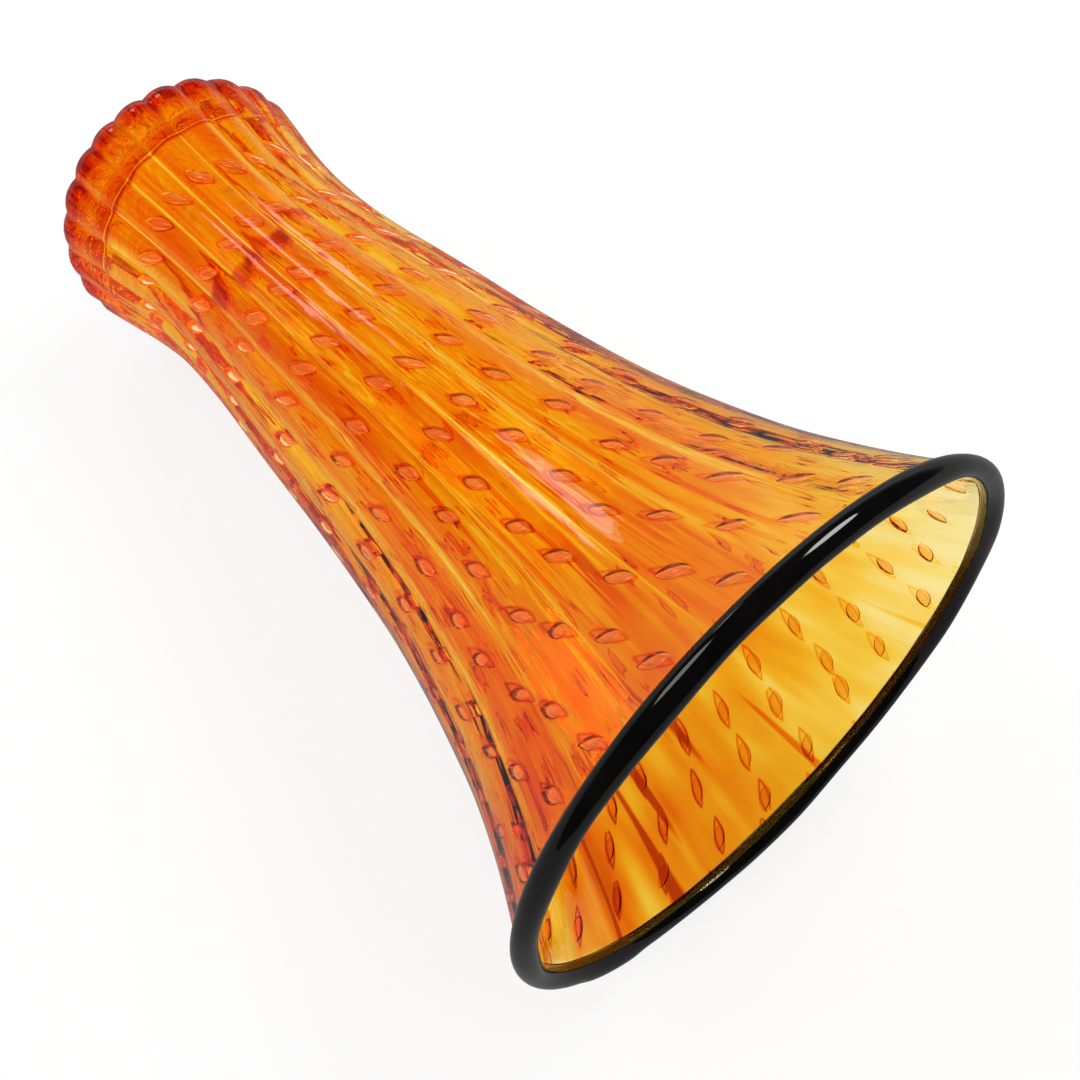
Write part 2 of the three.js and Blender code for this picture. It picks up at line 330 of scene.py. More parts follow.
def turned_tree(name, material, sizes):
    """Turns an outline round +Z into a closed skin with ribs, an uneven surface and a lap."""
    tree, given = new_tree(name, sizes)
    guide = given["Geometry"]
    rows = add(tree, "GeometryNodeAttributeDomainSize", {"Geometry": guide}, component="MESH")
    rows = rows.outputs["Point Count"]
    grid = add(tree, "GeometryNodeMeshGrid", {
        "Size X": 1.0, "Size Y": 1.0,
        "Vertices X": add(tree, "ShaderNodeMath", (given["Segments"], 1.0), operation="ADD"),
        "Vertices Y": rows})
    place = add(tree, "ShaderNodeSeparateXYZ", {0: add(tree, "GeometryNodeInputPosition")}).outputs
    number = add(tree, "ShaderNodeMath", (
        add(tree, "ShaderNodeMath", (place[1], 0.5), operation="ADD"),
        add(tree, "ShaderNodeMath", (rows, 1.0), operation="SUBTRACT")), operation="MULTIPLY")
    number = add(tree, "ShaderNodeMath", (number,), operation="ROUND")

    def ring(label, kind="FLOAT"):
        """The guide's value for the ring that a point is in."""
        return add(tree, "GeometryNodeSampleIndex", {
            "Geometry": guide,
            "Value": add(tree, "GeometryNodeInputNamedAttribute", {"Name": label}, data_type=kind),
            "Index": number}, data_type=kind)

    start = add(tree, "ShaderNodeSeparateXYZ", {0: ring("position", "FLOAT_VECTOR")}).outputs
    push = add(tree, "ShaderNodeSeparateXYZ", {0: ring("push", "FLOAT_VECTOR")}).outputs
    angle = add(tree, "ShaderNodeMath", (
        add(tree, "ShaderNodeMath", (place[0], 0.5), operation="ADD"), 2.0 * math.pi),
        operation="MULTIPLY")
    east = add(tree, "ShaderNodeMath", (angle,), operation="COSINE")
    north = add(tree, "ShaderNodeMath", (angle,), operation="SINE")

    def lumps(width, height, seed):
        """Smooth noise round the vase, about -1 to 1, in lumps of a width and height in mm."""
        reach = 50.0 / width
        seed = add(tree, "ShaderNodeMath", (given["Seed"], seed), operation="ADD")
        at = add(tree, "ShaderNodeCombineXYZ", {
            0: add(tree, "ShaderNodeMath", (east, reach, seed), operation="MULTIPLY_ADD"),
            1: add(tree, "ShaderNodeMath", (north, reach), operation="MULTIPLY"),
            2: add(tree, "ShaderNodeMath", (start[2], height * MM), operation="DIVIDE")})
        noise = add(tree, "ShaderNodeTexNoise", {"Vector": at, "Scale": 1.0, "Detail": 1.0})
        return add(tree, "ShaderNodeMath", (
            add(tree, "ShaderNodeMath", (noise, 0.5), operation="SUBTRACT"), 3.0), operation="MULTIPLY")

    drift = add(tree, "ShaderNodeMath", (lumps(60.0, 160.0, 11.0), given["Drift"]), operation="MULTIPLY")
    phase = add(tree, "ShaderNodeMath", (
        angle, add(tree, "ShaderNodeMath", (given["Ribs"], 2.0), operation="DIVIDE"), drift),
        operation="MULTIPLY_ADD")
    back = add(tree, "ShaderNodeMath", (
        add(tree, "ShaderNodeMath", (phase,), operation="COSINE"),), operation="ABSOLUTE")
    groove = add(tree, "ShaderNodeMath", (
        1.0, add(tree, "ShaderNodeMath", (back, 0.8), operation="POWER")), operation="SUBTRACT")
    depth = add(tree, "ShaderNodeMath", (lumps(18.0, 120.0, 3.0), 0.3, 1.0), operation="MULTIPLY_ADD")
    carved = add(tree, "ShaderNodeMath", (
        add(tree, "ShaderNodeMath", (groove, depth), operation="MULTIPLY"), ring("rib")),
        operation="MULTIPLY")
    wave = add(tree, "ShaderNodeMath", (
        add(tree, "ShaderNodeMath", (
            add(tree, "ShaderNodeMath", (phase, 2.0), operation="MULTIPLY"),), operation="COSINE"),
        ring("ghost")), operation="MULTIPLY")
    rough = add(tree, "ShaderNodeMath", (lumps(30.0, 45.0, 23.0), ring("uneven")), operation="MULTIPLY")
    away = add(tree, "ShaderNodeMath", (
        add(tree, "ShaderNodeMath", (angle, given["Lap angle"]), operation="SUBTRACT"),),
        operation="COSINE")
    lapped = add(tree, "ShaderNodeMapRange", {
        "Value": away,
        "From Min": add(tree, "ShaderNodeMath", (given["Lap spread"],), operation="COSINE"),
        "From Max": 1.0}, interpolation_type="SMOOTHERSTEP")
    lapped = add(tree, "ShaderNodeMath", (lapped, ring("lap")), operation="MULTIPLY")
    moved = add(tree, "ShaderNodeMath", (
        add(tree, "ShaderNodeMath", (rough, lapped), operation="ADD"),
        add(tree, "ShaderNodeMath", (carved, wave), operation="ADD")), operation="SUBTRACT")
    radius = add(tree, "ShaderNodeMath", (push[0], moved, start[0]), operation="MULTIPLY_ADD")
    height = add(tree, "ShaderNodeMath", (push[2], moved, start[2]), operation="MULTIPLY_ADD")
    final = add(tree, "ShaderNodeCombineXYZ", {
        0: add(tree, "ShaderNodeMath", (radius, east), operation="MULTIPLY"),
        1: add(tree, "ShaderNodeMath", (radius, north), operation="MULTIPLY"), 2: height})
    skin_mesh = grid.outputs["Mesh"]
    for label, value in (("drift", drift), ("colour", ring("colour")), ("row", ring("row"))):
        skin_mesh = add(tree, "GeometryNodeStoreNamedAttribute", {
            "Geometry": skin_mesh, "Name": label, "Value": value})
    shaped = add(tree, "GeometryNodeSetPosition", {"Geometry": skin_mesh, "Position": final})
    closed = add(tree, "GeometryNodeMergeByDistance", {
        "Geometry": shaped, "Distance": 0.002 * MM})
    soft = add(tree, "GeometryNodeSetShadeSmooth", {"Geometry": closed})
    end_tree(tree, soft, material)
    return tree


def bubble_tree(material):
    """Air bubbles, each closed over one pit: one guide point per row, repeated round the vase."""
    tree, given = new_tree("trapped_bubbles", {
        "Columns": RIBS, "Width": BUBBLE_WIDTH * MM, "Depth": BUBBLE_DEPTH * MM, "Point": 0.3,
        "Wander along": WANDER_ALONG * MM, "Wander round": WANDER_ROUND, "Seed": 4})
    copies = add(tree, "GeometryNodeDuplicateElements", {
        "Geometry": given["Geometry"], "Amount": given["Columns"]}, domain="POINT")
    column = copies.outputs["Duplicate Index"]

    # How far one bubble's lean, thickness, width and length are from the rule's
    spans = ((0.75, 1.25), (0.85, 1.1), (0.85, 1.15), (0.85, 1.15))
    lean_chance, thick_chance, width_chance, long_chance = (
        add(tree, "FunctionNodeRandomValue", {
            2: low, 3: high,
            "Seed": add(tree, "ShaderNodeMath", (given["Seed"], step), operation="ADD")}).outputs[1]
        for step, (low, high) in enumerate(spans, 3))

    pair = add(tree, "ShaderNodeCombineXYZ", {
        0: column, 1: add(tree, "GeometryNodeInputNamedAttribute", {"Name": "row"})})
    stray = add(tree, "ShaderNodeTexWhiteNoise", {"Vector": pair}, noise_dimensions="2D").outputs["Color"]
    stray = add(tree, "ShaderNodeSeparateXYZ", {0: stray}).outputs
    aside = add(tree, "ShaderNodeMath", (
        add(tree, "ShaderNodeMath", (stray[0], 0.5), operation="SUBTRACT"), given["Wander round"]),
        operation="MULTIPLY")
    above = add(tree, "ShaderNodeMath", (
        add(tree, "ShaderNodeMath", (stray[1], 0.5), operation="SUBTRACT"), given["Wander along"]),
        operation="MULTIPLY")
    turn = add(tree, "ShaderNodeMath", (
        column, add(tree, "ShaderNodeMath", (2.0 * math.pi, given["Columns"]), operation="DIVIDE")),
        operation="MULTIPLY")
    turn = add(tree, "ShaderNodeMath", (
        turn,
        add(tree, "ShaderNodeMath", (
            add(tree, "GeometryNodeInputNamedAttribute", {"Name": "swirl"}), aside), operation="ADD")),
        operation="ADD")
    tilt = add(tree, "GeometryNodeInputNamedAttribute", {"Name": "tilt"})
    here = add(tree, "ShaderNodeSeparateXYZ", {0: add(tree, "GeometryNodeInputPosition")}).outputs
    radius = add(tree, "ShaderNodeMath", (
        above, add(tree, "ShaderNodeMath", (tilt,), operation="TANGENT"), here[0]),
        operation="MULTIPLY_ADD")
    spun = add(tree, "ShaderNodeCombineXYZ", {
        0: add(tree, "ShaderNodeMath", (
            radius, add(tree, "ShaderNodeMath", (turn,), operation="COSINE")), operation="MULTIPLY"),
        1: add(tree, "ShaderNodeMath", (
            radius, add(tree, "ShaderNodeMath", (turn,), operation="SINE")), operation="MULTIPLY"),
        2: add(tree, "ShaderNodeMath", (here[2], above), operation="ADD")})
    lean = add(tree, "ShaderNodeMath", (
        add(tree, "GeometryNodeInputNamedAttribute", {"Name": "lean"}), lean_chance),
        operation="MULTIPLY")
    size = add(tree, "ShaderNodeCombineXYZ", {
        0: add(tree, "ShaderNodeMath", (
            given["Depth"],
            add(tree, "ShaderNodeMath", (
                add(tree, "GeometryNodeInputNamedAttribute", {"Name": "thick"}), thick_chance),
                operation="MULTIPLY")), operation="MULTIPLY"),
        1: add(tree, "ShaderNodeMath", (given["Width"], width_chance), operation="MULTIPLY"),
        2: add(tree, "ShaderNodeMath", (
            add(tree, "GeometryNodeInputNamedAttribute", {"Name": "long"}), long_chance),
            operation="MULTIPLY")})
    facing = add(tree, "ShaderNodeCombineXYZ", {0: lean, 1: tilt, 2: turn})
    # The place changes last, so what reads a point's own row is kept on it first.
    points = copies.outputs["Geometry"]
    for label, value in (("size", size), ("facing", facing)):
        points = add(tree, "GeometryNodeStoreNamedAttribute", {
            "Geometry": points, "Name": label, "Value": value}, data_type="FLOAT_VECTOR")
    points = add(tree, "GeometryNodeSetPosition", {"Geometry": points, "Position": spun})

    ball = add(tree, "GeometryNodeMeshUVSphere", {"Segments": 12, "Rings": 9, "Radius": 0.5})
    inside = add(tree, "ShaderNodeSeparateXYZ", {0: add(tree, "GeometryNodeInputPosition")}).outputs
    up = add(tree, "ShaderNodeMath", (inside[2], 2.0), operation="MULTIPLY")
    narrow = add(tree, "ShaderNodeMath", (
        add(tree, "ShaderNodeMath", (
            1.0, add(tree, "ShaderNodeMath", (up, up), operation="MULTIPLY")), operation="SUBTRACT"),
        0.0), operation="MAXIMUM")
    narrow = add(tree, "ShaderNodeMath", (narrow, given["Point"]), operation="POWER")
    pinched = add(tree, "ShaderNodeCombineXYZ", {
        0: add(tree, "ShaderNodeMath", (inside[0], narrow), operation="MULTIPLY"),
        1: add(tree, "ShaderNodeMath", (inside[1], narrow), operation="MULTIPLY"), 2: inside[2]})
    lens = add(tree, "GeometryNodeSetPosition", {
        "Geometry": ball.outputs["Mesh"], "Position": pinched})
    lens = add(tree, "GeometryNodeSetShadeSmooth", {"Geometry": lens})
    lens = add(tree, "GeometryNodeFlipFaces", {"Mesh": lens})
    turned = add(tree, "FunctionNodeEulerToRotation", {
        0: add(tree, "GeometryNodeInputNamedAttribute", {"Name": "facing"}, data_type="FLOAT_VECTOR")})
    scale = add(tree, "GeometryNodeInputNamedAttribute", {"Name": "size"}, data_type="FLOAT_VECTOR")
    placed = add(tree, "GeometryNodeInstanceOnPoints", {
        "Points": points, "Instance": lens, "Rotation": turned, "Scale": scale})
    end_tree(tree, placed.outputs["Instances"], material)
    return tree


def guide_object(name, points, kinds):
    """A mesh of loose points that carries values for a geometry tree."""
    mesh = bpy.data.meshes.new(name)
    mesh.from_pydata([p["place"] for p in points], [], [])
    for label in kinds:
        values = mesh.attributes.new(label, "FLOAT", "POINT")
        values.data.foreach_set("value", [p["more"].get(label, 0.0) for p in points])
    push = mesh.attributes.new("push", "FLOAT_VECTOR", "POINT")
    push.data.foreach_set("vector", [c for p in points for c in p["push"]])
    piece = bpy.data.objects.new(name, mesh)
    bpy.context.scene.collection.objects.link(piece)
    return piece


def grown_mesh(guide, tree, name):
    """Runs a geometry tree on a guide, and gives its result as a plain mesh without the guide."""
    modifier = guide.modifiers.new(tree.name, "NODES")
    modifier.node_group = tree
    for socket in tree.interface.items_tree:
        if socket.in_out == "INPUT" and socket.socket_type != "NodeSocketGeometry":
            modifier[socket.identifier] = socket.default_value
    graph = bpy.context.evaluated_depsgraph_get()
    mesh = bpy.data.meshes.new_from_object(guide.evaluated_get(graph), depsgraph=graph)
    mesh.name = name
    bpy.data.objects.remove(guide)
    return mesh


def bubble_points():
    """One guide point for each row, with what its bubbles get. The top rows lean the most."""
    points = []
    for number, (z, pitch) in enumerate(ROWS):
        lean = math.radians(lerp(48.0, 18.0, smooth(number / 5.0)))
        size = lerp(7.0, 11.0, smooth((pitch - FIRST_PITCH) / (LONGEST_PITCH - FIRST_PITCH)))
        size += 1.5 * (1.0 - smooth(number / 4.0))
        swirl = -SWIRL_STEP * max(0, SWIRLED_ROWS - number) * 2.0 * math.pi / RIBS
        tilt = math.atan((seam(z + 1.0) - seam(z - 1.0)) / 2.0)
        thick = lerp(1.0, 0.42, share(z))
        points.append(spot(seam(z) - 0.1, z, row=float(number), lean=lean, long=size * MM, swirl=swirl,
                           tilt=tilt, thick=thick))
    return points


# Materials

# Soda-lime glass coloured amber in the gather, blown in a ribbed mould and fire-polished. The colour is a
# layer in the wall, thin and yellow at the lip. Its pale yellow lines in the grooves and deeper orange on
# the backs of the ribs are painted light, for light that the ribs bend; its deep colour round the bubbles is
# partly drawn-out colour and partly painted shade; and one side is painted deeper as painted shade. The
# clear base under it is only faintly coloured.
def amber_glass(name, fused):
    material = bpy.data.materials.new(name)
    material.use_nodes = True
    tree = material.node_tree
    tree.nodes.clear()
    place = add(tree, "ShaderNodeTexCoord").outputs["Object"]
    axes = add(tree, "ShaderNodeSeparateXYZ", {0: place}).outputs
    angle = add(tree, "ShaderNodeMath", (axes[1], axes[0]), operation="ARCTAN2")
    radius = add(tree, "ShaderNodeVectorMath", {
        0: add(tree, "ShaderNodeCombineXYZ", {0: axes[0], 1: axes[1]})}, operation="LENGTH").outputs["Value"]
    drift = add(tree, "ShaderNodeAttribute", attribute_name="drift").outputs["Fac"]
    row = add(tree, "ShaderNodeAttribute", attribute_name="row").outputs["Fac"]
    layer = add(tree, "ShaderNodeAttribute", attribute_name="colour").outputs["Fac"]

    # Painted light: the colour is painted paler in the grooves between the ribs, more in some than in
    # others, and deeper towards the backs of the ribs, for the light that the ribs bend
    phase = add(tree, "ShaderNodeMath", (angle, RIBS / 2.0, drift), operation="MULTIPLY_ADD")
    back = add(tree, "ShaderNodeMath", (
        add(tree, "ShaderNodeMath", (phase,), operation="COSINE"),), operation="ABSOLUTE")
    groove = add(tree, "ShaderNodeMapRange", {
        "Value": back, "From Min": 0.08, "From Max": 0.4, "To Min": 1.0, "To Max": 0.0},
        interpolation_type="SMOOTHSTEP")
    flank_light = add(tree, "ShaderNodeMapRange", {
        "Value": back, "From Min": 0.0, "From Max": 0.9, "To Min": 1.0, "To Max": 0.0},
        interpolation_type="SMOOTHSTEP")

    # Cat-eye films of deeper colour round each bubble: partly colour drawn out round it, partly painted
    # shade for the dark red rim and halo that light leaves round a bubble
    count = add(tree, "ShaderNodeMath", (row,), operation="ROUND")
    swirled = add(tree, "ShaderNodeMath", (
        add(tree, "ShaderNodeMath", (float(SWIRLED_ROWS), count), operation="SUBTRACT"), 0.0),
        operation="MAXIMUM")
    spread = add(tree, "ShaderNodeMath", (angle, RIBS / (2.0 * math.pi)), operation="MULTIPLY")
    spread = add(tree, "ShaderNodeMath", (swirled, SWIRL_STEP, spread), operation="MULTIPLY_ADD")
    column = add(tree, "ShaderNodeMath", (spread,), operation="ROUND")
    index = add(tree, "ShaderNodeMath", (column, float(RIBS)), operation="FLOORED_MODULO")
    pair = add(tree, "ShaderNodeCombineXYZ", {0: index, 1: count})
    stray = add(tree, "ShaderNodeTexWhiteNoise", {"Vector": pair}, noise_dimensions="2D").outputs["Color"]
    stray = add(tree, "ShaderNodeSeparateXYZ", {0: stray}).outputs
    aside = add(tree, "ShaderNodeMath", (
        add(tree, "ShaderNodeMath", (spread, column), operation="SUBTRACT"), 2.0 * math.pi / RIBS),
        operation="MULTIPLY")
    aside = add(tree, "ShaderNodeMath", (
        aside,
        add(tree, "ShaderNodeMath", (
            add(tree, "ShaderNodeMath", (stray[0], 0.5), operation="SUBTRACT"), WANDER_ROUND),
            operation="MULTIPLY")), operation="SUBTRACT")
    aside = add(tree, "ShaderNodeMath", (aside, radius), operation="MULTIPLY")
    pitch = add(tree, "ShaderNodeMath", (
        FIRST_PITCH * MM, add(tree, "ShaderNodeMath", (PITCH_GROWTH, count), operation="POWER")),
        operation="MULTIPLY")
    pitch = add(tree, "ShaderNodeMath", (pitch, LONGEST_PITCH * MM), operation="MINIMUM")
    above = add(tree, "ShaderNodeMath", (
        add(tree, "ShaderNodeMath", (count, row), operation="SUBTRACT"), pitch), operation="MULTIPLY")
    above = add(tree, "ShaderNodeMath", (
        above,
        add(tree, "ShaderNodeMath", (
            add(tree, "ShaderNodeMath", (stray[1], 0.5), operation="SUBTRACT"),
            WANDER_ALONG * MM), operation="MULTIPLY")), operation="SUBTRACT")
    lean = add(tree, "ShaderNodeMapRange", {
        "Value": count, "From Max": 5.0, "To Min": 0.55, "To Max": 0.25})
    across = add(tree, "ShaderNodeMath", (above, lean, aside), operation="MULTIPLY_ADD")
    length = add(tree, "ShaderNodeMath", (
        add(tree, "ShaderNodeMath", (pitch, 0.42), operation="MULTIPLY"), 6.0 * MM),
        operation="MINIMUM")
    end = add(tree, "ShaderNodeMath", (above, length), operation="DIVIDE")
    eye = add(tree, "ShaderNodeMath", (
        end, end,
        add(tree, "ShaderNodeMath", (
            add(tree, "ShaderNodeMath", (across,), operation="ABSOLUTE"), 1.8 * MM), operation="DIVIDE")),
        operation="MULTIPLY_ADD")
    film_and_rim_shade = add(tree, "ShaderNodeValToRGB", (
        add(tree, "ShaderNodeMath", (eye, 0.5), operation="MULTIPLY"),),
        ((0.0, "#707070"), (0.3, "#808080"), (0.42, "#FFFFFF"), (0.5, "#E0E0E0"), (0.64, "#000000")))

    # Cords: streaks of richer and paler colour, 1 to 4 mm wide, drawn out along the vase
    drawn = add(tree, "ShaderNodeMath", (
        angle, add(tree, "ShaderNodeMath", (drift, RIBS / 2.0), operation="DIVIDE")), operation="ADD")

    def streak(across_mm, along_mm, detail):
        """Noise drawn out along the ribs; its width is the one where the body is 45 mm in radius."""
        reach = 45.0 / across_mm
        sized = add(tree, "ShaderNodeCombineXYZ", {
            0: add(tree, "ShaderNodeMath", (
                add(tree, "ShaderNodeMath", (drawn,), operation="COSINE"), reach), operation="MULTIPLY"),
            1: add(tree, "ShaderNodeMath", (
                add(tree, "ShaderNodeMath", (drawn,), operation="SINE"), reach), operation="MULTIPLY"),
            2: add(tree, "ShaderNodeMath", (axes[2], along_mm * MM), operation="DIVIDE")})
        noise = add(tree, "ShaderNodeTexNoise", {
            "Vector": sized, "Scale": 1.0, "Detail": detail})
        return add(tree, "ShaderNodeMath", (noise, 0.5), operation="SUBTRACT")

    fine, cord, broad = streak(1.4, 120.0, 1.0), streak(4.0, 110.0, 2.0), streak(14.0, 90.0, 2.0)
    pale_end = add(tree, "ShaderNodeMapRange", {
        "Value": axes[2], "From Min": 0.235, "From Max": 0.285, "To Min": 1.0, "To Max": 0.1})
    least = add(tree, "ShaderNodeMapRange", {
        "Value": axes[2], "From Min": 0.18, "From Max": 0.24, "To Min": 0.6, "To Max": 0.05})
    # Where the painted groove light and the streaks are strong: round one side, less higher up and least at
    # the lip
    strong_lines = add(tree, "ShaderNodeMapRange", {
        "Value": add(tree, "ShaderNodeMath", (
            add(tree, "ShaderNodeMath", (angle, STRONG_LINES_SIDE), operation="SUBTRACT"),),
            operation="COSINE"),
        "From Min": -0.3, "From Max": 0.5, "To Min": least, "To Max": 1.0})
    strong_lines = add(tree, "ShaderNodeMath", (strong_lines, pale_end), operation="MULTIPLY")
    patch = add(tree, "ShaderNodeMath", (
        streak(7.0, 26.0, 1.0), add(tree, "ShaderNodeMath", (1.0, strong_lines), operation="SUBTRACT")),
        operation="MULTIPLY")
    # Painted light: pale lines along the grooves, which turn to deeper lines at the very foot
    groove_light = add(tree, "ShaderNodeMath", (
        add(tree, "ShaderNodeMath", (broad, 3.0, 0.75), operation="MULTIPLY_ADD"), 0.0),
        operation="MAXIMUM")
    above_foot = add(tree, "ShaderNodeMapRange", {
        "Value": axes[2], "From Min": 0.012, "From Max": 0.024, "To Min": -0.6, "To Max": 1.0})
    groove_light = add(tree, "ShaderNodeMath", (
        add(tree, "ShaderNodeMath", (groove, groove_light), operation="MULTIPLY"), above_foot),
        operation="MULTIPLY")
    depth = add(tree, "ShaderNodeMath", (
        add(tree, "ShaderNodeMath", (fine, 1.1), operation="MULTIPLY"), groove_light), operation="SUBTRACT")
    depth = add(tree, "ShaderNodeMath", (cord, 2.0, depth), operation="MULTIPLY_ADD")
    # Painted light: paler towards the grooves, deeper on the backs of the ribs
    depth = add(tree, "ShaderNodeMath", (
        depth, add(tree, "ShaderNodeMath", (flank_light, 0.15), operation="MULTIPLY")), operation="SUBTRACT")
    depth = add(tree, "ShaderNodeMath", (
        depth, add(tree, "ShaderNodeMath", (strong_lines, 0.85, 0.15), operation="MULTIPLY_ADD")),
        operation="MULTIPLY")
    depth = add(tree, "ShaderNodeMath", (patch, 1.6, depth), operation="MULTIPLY_ADD")
    upper = add(tree, "ShaderNodeMapRange", {
        "Value": axes[2], "From Min": 0.15, "From Max": 0.2, "To Min": 0.0, "To Max": 1.0})
    brown = add(tree, "ShaderNodeMapRange", {
        "Value": streak(3.4, 70.0, 0.0), "From Min": 0.2, "From Max": 0.3, "To Min": 0.0,
        "To Max": upper}, interpolation_type="SMOOTHSTEP")
    depth = add(tree, "ShaderNodeMath", (depth, brown), operation="ADD")
    depth = add(tree, "ShaderNodeMath", (broad, 1.6, depth), operation="MULTIPLY_ADD")
    # The films go in: partly drawn-out colour, partly painted shade round the bubbles
    depth = add(tree, "ShaderNodeMath", (depth, film_and_rim_shade), operation="ADD")
    # Painted shade and light: the layer is painted deeper on the side away from the key softbox and paler on
    # the lit side, most of all towards the lip
    side_shade = add(tree, "ShaderNodeMath", (
        add(tree, "ShaderNodeMath", (angle, SHADED_SIDE), operation="SUBTRACT"),), operation="COSINE")
    # How strong the painted side shade is: faint on the body, strongest at the lip
    uneven = add(tree, "ShaderNodeMapRange", {
        "Value": axes[2], "From Min": 0.24, "From Max": 0.285, "To Min": 0.1, "To Max": 0.75})
    layer = add(tree, "ShaderNodeMath", (
        layer, add(tree, "ShaderNodeMath", (side_shade, uneven, 1.0), operation="MULTIPLY_ADD")),
        operation="MULTIPLY")
    depth = add(tree, "ShaderNodeMath", (
        add(tree, "ShaderNodeMath", (depth, 1.0), operation="ADD"), layer), operation="MULTIPLY")
    if fused:
        # Painted light: light that slants on to the bore is thrown back and crosses the layer twice, so the
        # layer's colour is painted paler where it is seen at a slant, to keep that light bright
        slant_light = add(tree, "ShaderNodeLayerWeight", {"Blend": 0.5}).outputs["Facing"]
        slant_light = add(tree, "ShaderNodeMapRange", {
            "Value": slant_light, "From Min": 0.14, "From Max": 0.34, "To Min": 1.0, "To Max": 0.35})
        depth = add(tree, "ShaderNodeMath", (depth, slant_light), operation="MULTIPLY")
    # One wall's colour by the depth of amber in it, from clear to the red brown of a thick layer
    tint = add(tree, "ShaderNodeValToRGB", (
        add(tree, "ShaderNodeMath", (depth, 0.4), operation="MULTIPLY"),), (
            (0.0, "#FFFDF0"), (0.12, "#FFF0B4"), (0.25, "#FDDA60"), (0.4, "#FABE30"),
            (0.56, "#F6A01C"), (0.75, "#F07814"), (1.0, "#C04410")))

    # The shader takes the root of its colour at each surface, and here one surface carries the
    # whole wall's colour, so it is squared
    tint = add(tree, "ShaderNodeMix", {0: 1.0, 6: tint, 7: tint}, data_type="RGBA", blend_type="MULTIPLY")
    shader = add(tree, "ShaderNodeBsdfPrincipled", {
        "Base Color": tint.outputs[2], "Roughness": 0.0, "IOR": 1.0 if fused else 1.5,
        "Transmission Weight": 1.0})
    end = add(tree, "ShaderNodeOutputMaterial", {"Surface": shader})
    if not fused:
        height = add(tree, "ShaderNodeMath", (
            fine, 0.25, streak(5.0, 16.0, 1.0)), operation="MULTIPLY_ADD")
        ripple = add(tree, "ShaderNodeBump", {"Height": height, "Strength": 0.5, "Distance": 0.0004})
        tree.links.new(ripple.outputs[0], shader.inputs["Normal"])
        body = add(tree, "ShaderNodeVolumeAbsorption", {"Color": (0.985, 0.79, 0.0, 1.0), "Density": 28.0})
        tree.links.new(body.outputs[0], end.inputs["Volume"])
    return material


# The wall of an air bubble in the same glass: clear, never touched by a tool, and bright.
def bubble_wall():
    material = bpy.data.materials.new("bubble_wall_in_glass")
    material.use_nodes = True
    tree = material.node_tree
    tree.nodes.clear()
    place = add(tree, "ShaderNodeTexCoord").outputs["Object"]
    cloud = add(tree, "ShaderNodeTexNoise", {"Vector": place, "Scale": 300.0, "Detail": 1.0})
    tint = add(tree, "ShaderNodeValToRGB", (cloud,), ((0.3, "#FCD8A0"), (0.7, "#FFE6BC")))
    ripple = add(tree, "ShaderNodeBump", {"Height": cloud, "Strength": 0.2, "Distance": 0.0002})
    # A stand-in for light that runs along inside the wall. The renderer brings no lamp's light
    # there, and without this glow the bubble's steep rim is black, where the photograph has red.
    rim = add(tree, "ShaderNodeLayerWeight", {"Blend": 0.5}).outputs["Facing"]
    rim = add(tree, "ShaderNodeMapRange", {
        "Value": rim, "From Min": 0.22, "From Max": 0.45, "To Min": 0.0, "To Max": 0.5})
    shader = add(tree, "ShaderNodeBsdfPrincipled", {
        "Base Color": tint, "Normal": ripple, "Roughness": 0.0, "IOR": 1.5,
        "Transmission Weight": 1.0, "Emission Color": linear("#A83A06"), "Emission Strength": rim})
    add(tree, "ShaderNodeOutputMaterial", {"Surface": shader})
    return material


# The same glass loaded with colour until it is opaque black, trailed on hot and fire-polished.
def black_glass():
    material = bpy.data.materials.new("black_trailed_glass")
    material.use_nodes = True
    tree = material.node_tree
    tree.nodes.clear()
    place = add(tree, "ShaderNodeTexCoord").outputs["Object"]
    cloud = add(tree, "ShaderNodeTexNoise", {"Vector": place, "Scale": 90.0, "Detail": 3.0})
    shade = add(tree, "ShaderNodeValToRGB", (cloud,), ((0.2, "#020202"), (0.8, "#0B0908")))
    gloss = add(tree, "ShaderNodeMapRange", {"Value": cloud, "To Min": 0.03, "To Max": 0.10})
    waves = add(tree, "ShaderNodeTexNoise", {"Vector": place, "Scale": 140.0, "Detail": 1.0})
    ripple = add(tree, "ShaderNodeBump", {"Height": waves, "Strength": 0.25, "Distance": 0.0004})
    shader = add(tree, "ShaderNodeBsdfPrincipled", {
        "Base Color": shade, "Roughness": gloss, "Normal": ripple, "IOR": 1.52})
    add(tree, "ShaderNodeOutputMaterial", {"Surface": shader})
    return material


# The pieces

amber = amber_glass("amber_casing_blown_glass", False)
amber_core = amber_glass("amber_gather_blown_glass", True)
clear = bubble_wall()
black = black_glass()

RING_VALUES = ("rib", "ghost", "uneven", "lap", "colour", "row")
RIBBED = {
    "Segments": SEGMENTS, "Ribs": RIBS, "Drift": 0.25, "Lap angle": TRAIL_LAP, "Lap spread": 0.25, "Seed": 2}
outer_form = turned_tree("ribbed_blown_form", amber, RIBBED)
vase_mesh = grown_mesh(
    guide_object("glass_outline", glass_outline(), RING_VALUES), outer_form, "vase_glass")
bubbles = grown_mesh(
    guide_object("bubble_guide", bubble_points(), ("row", "lean", "long", "swirl", "tilt", "thick")),
    bubble_tree(clear), "bubbles")
for number, mesh in enumerate((vase_mesh, bubbles)):
    mesh.polygons.foreach_set("material_index", [number] * len(mesh.polygons))
joined = bmesh.new()
joined.from_mesh(vase_mesh)
joined.from_mesh(bubbles)
vase_mesh.materials.clear()
vase_mesh.materials.append(amber)
vase_mesh.materials.append(clear)
joined.to_mesh(vase_mesh)
joined.free()
vase = bpy.data.objects.new("vase_glass", vase_mesh)

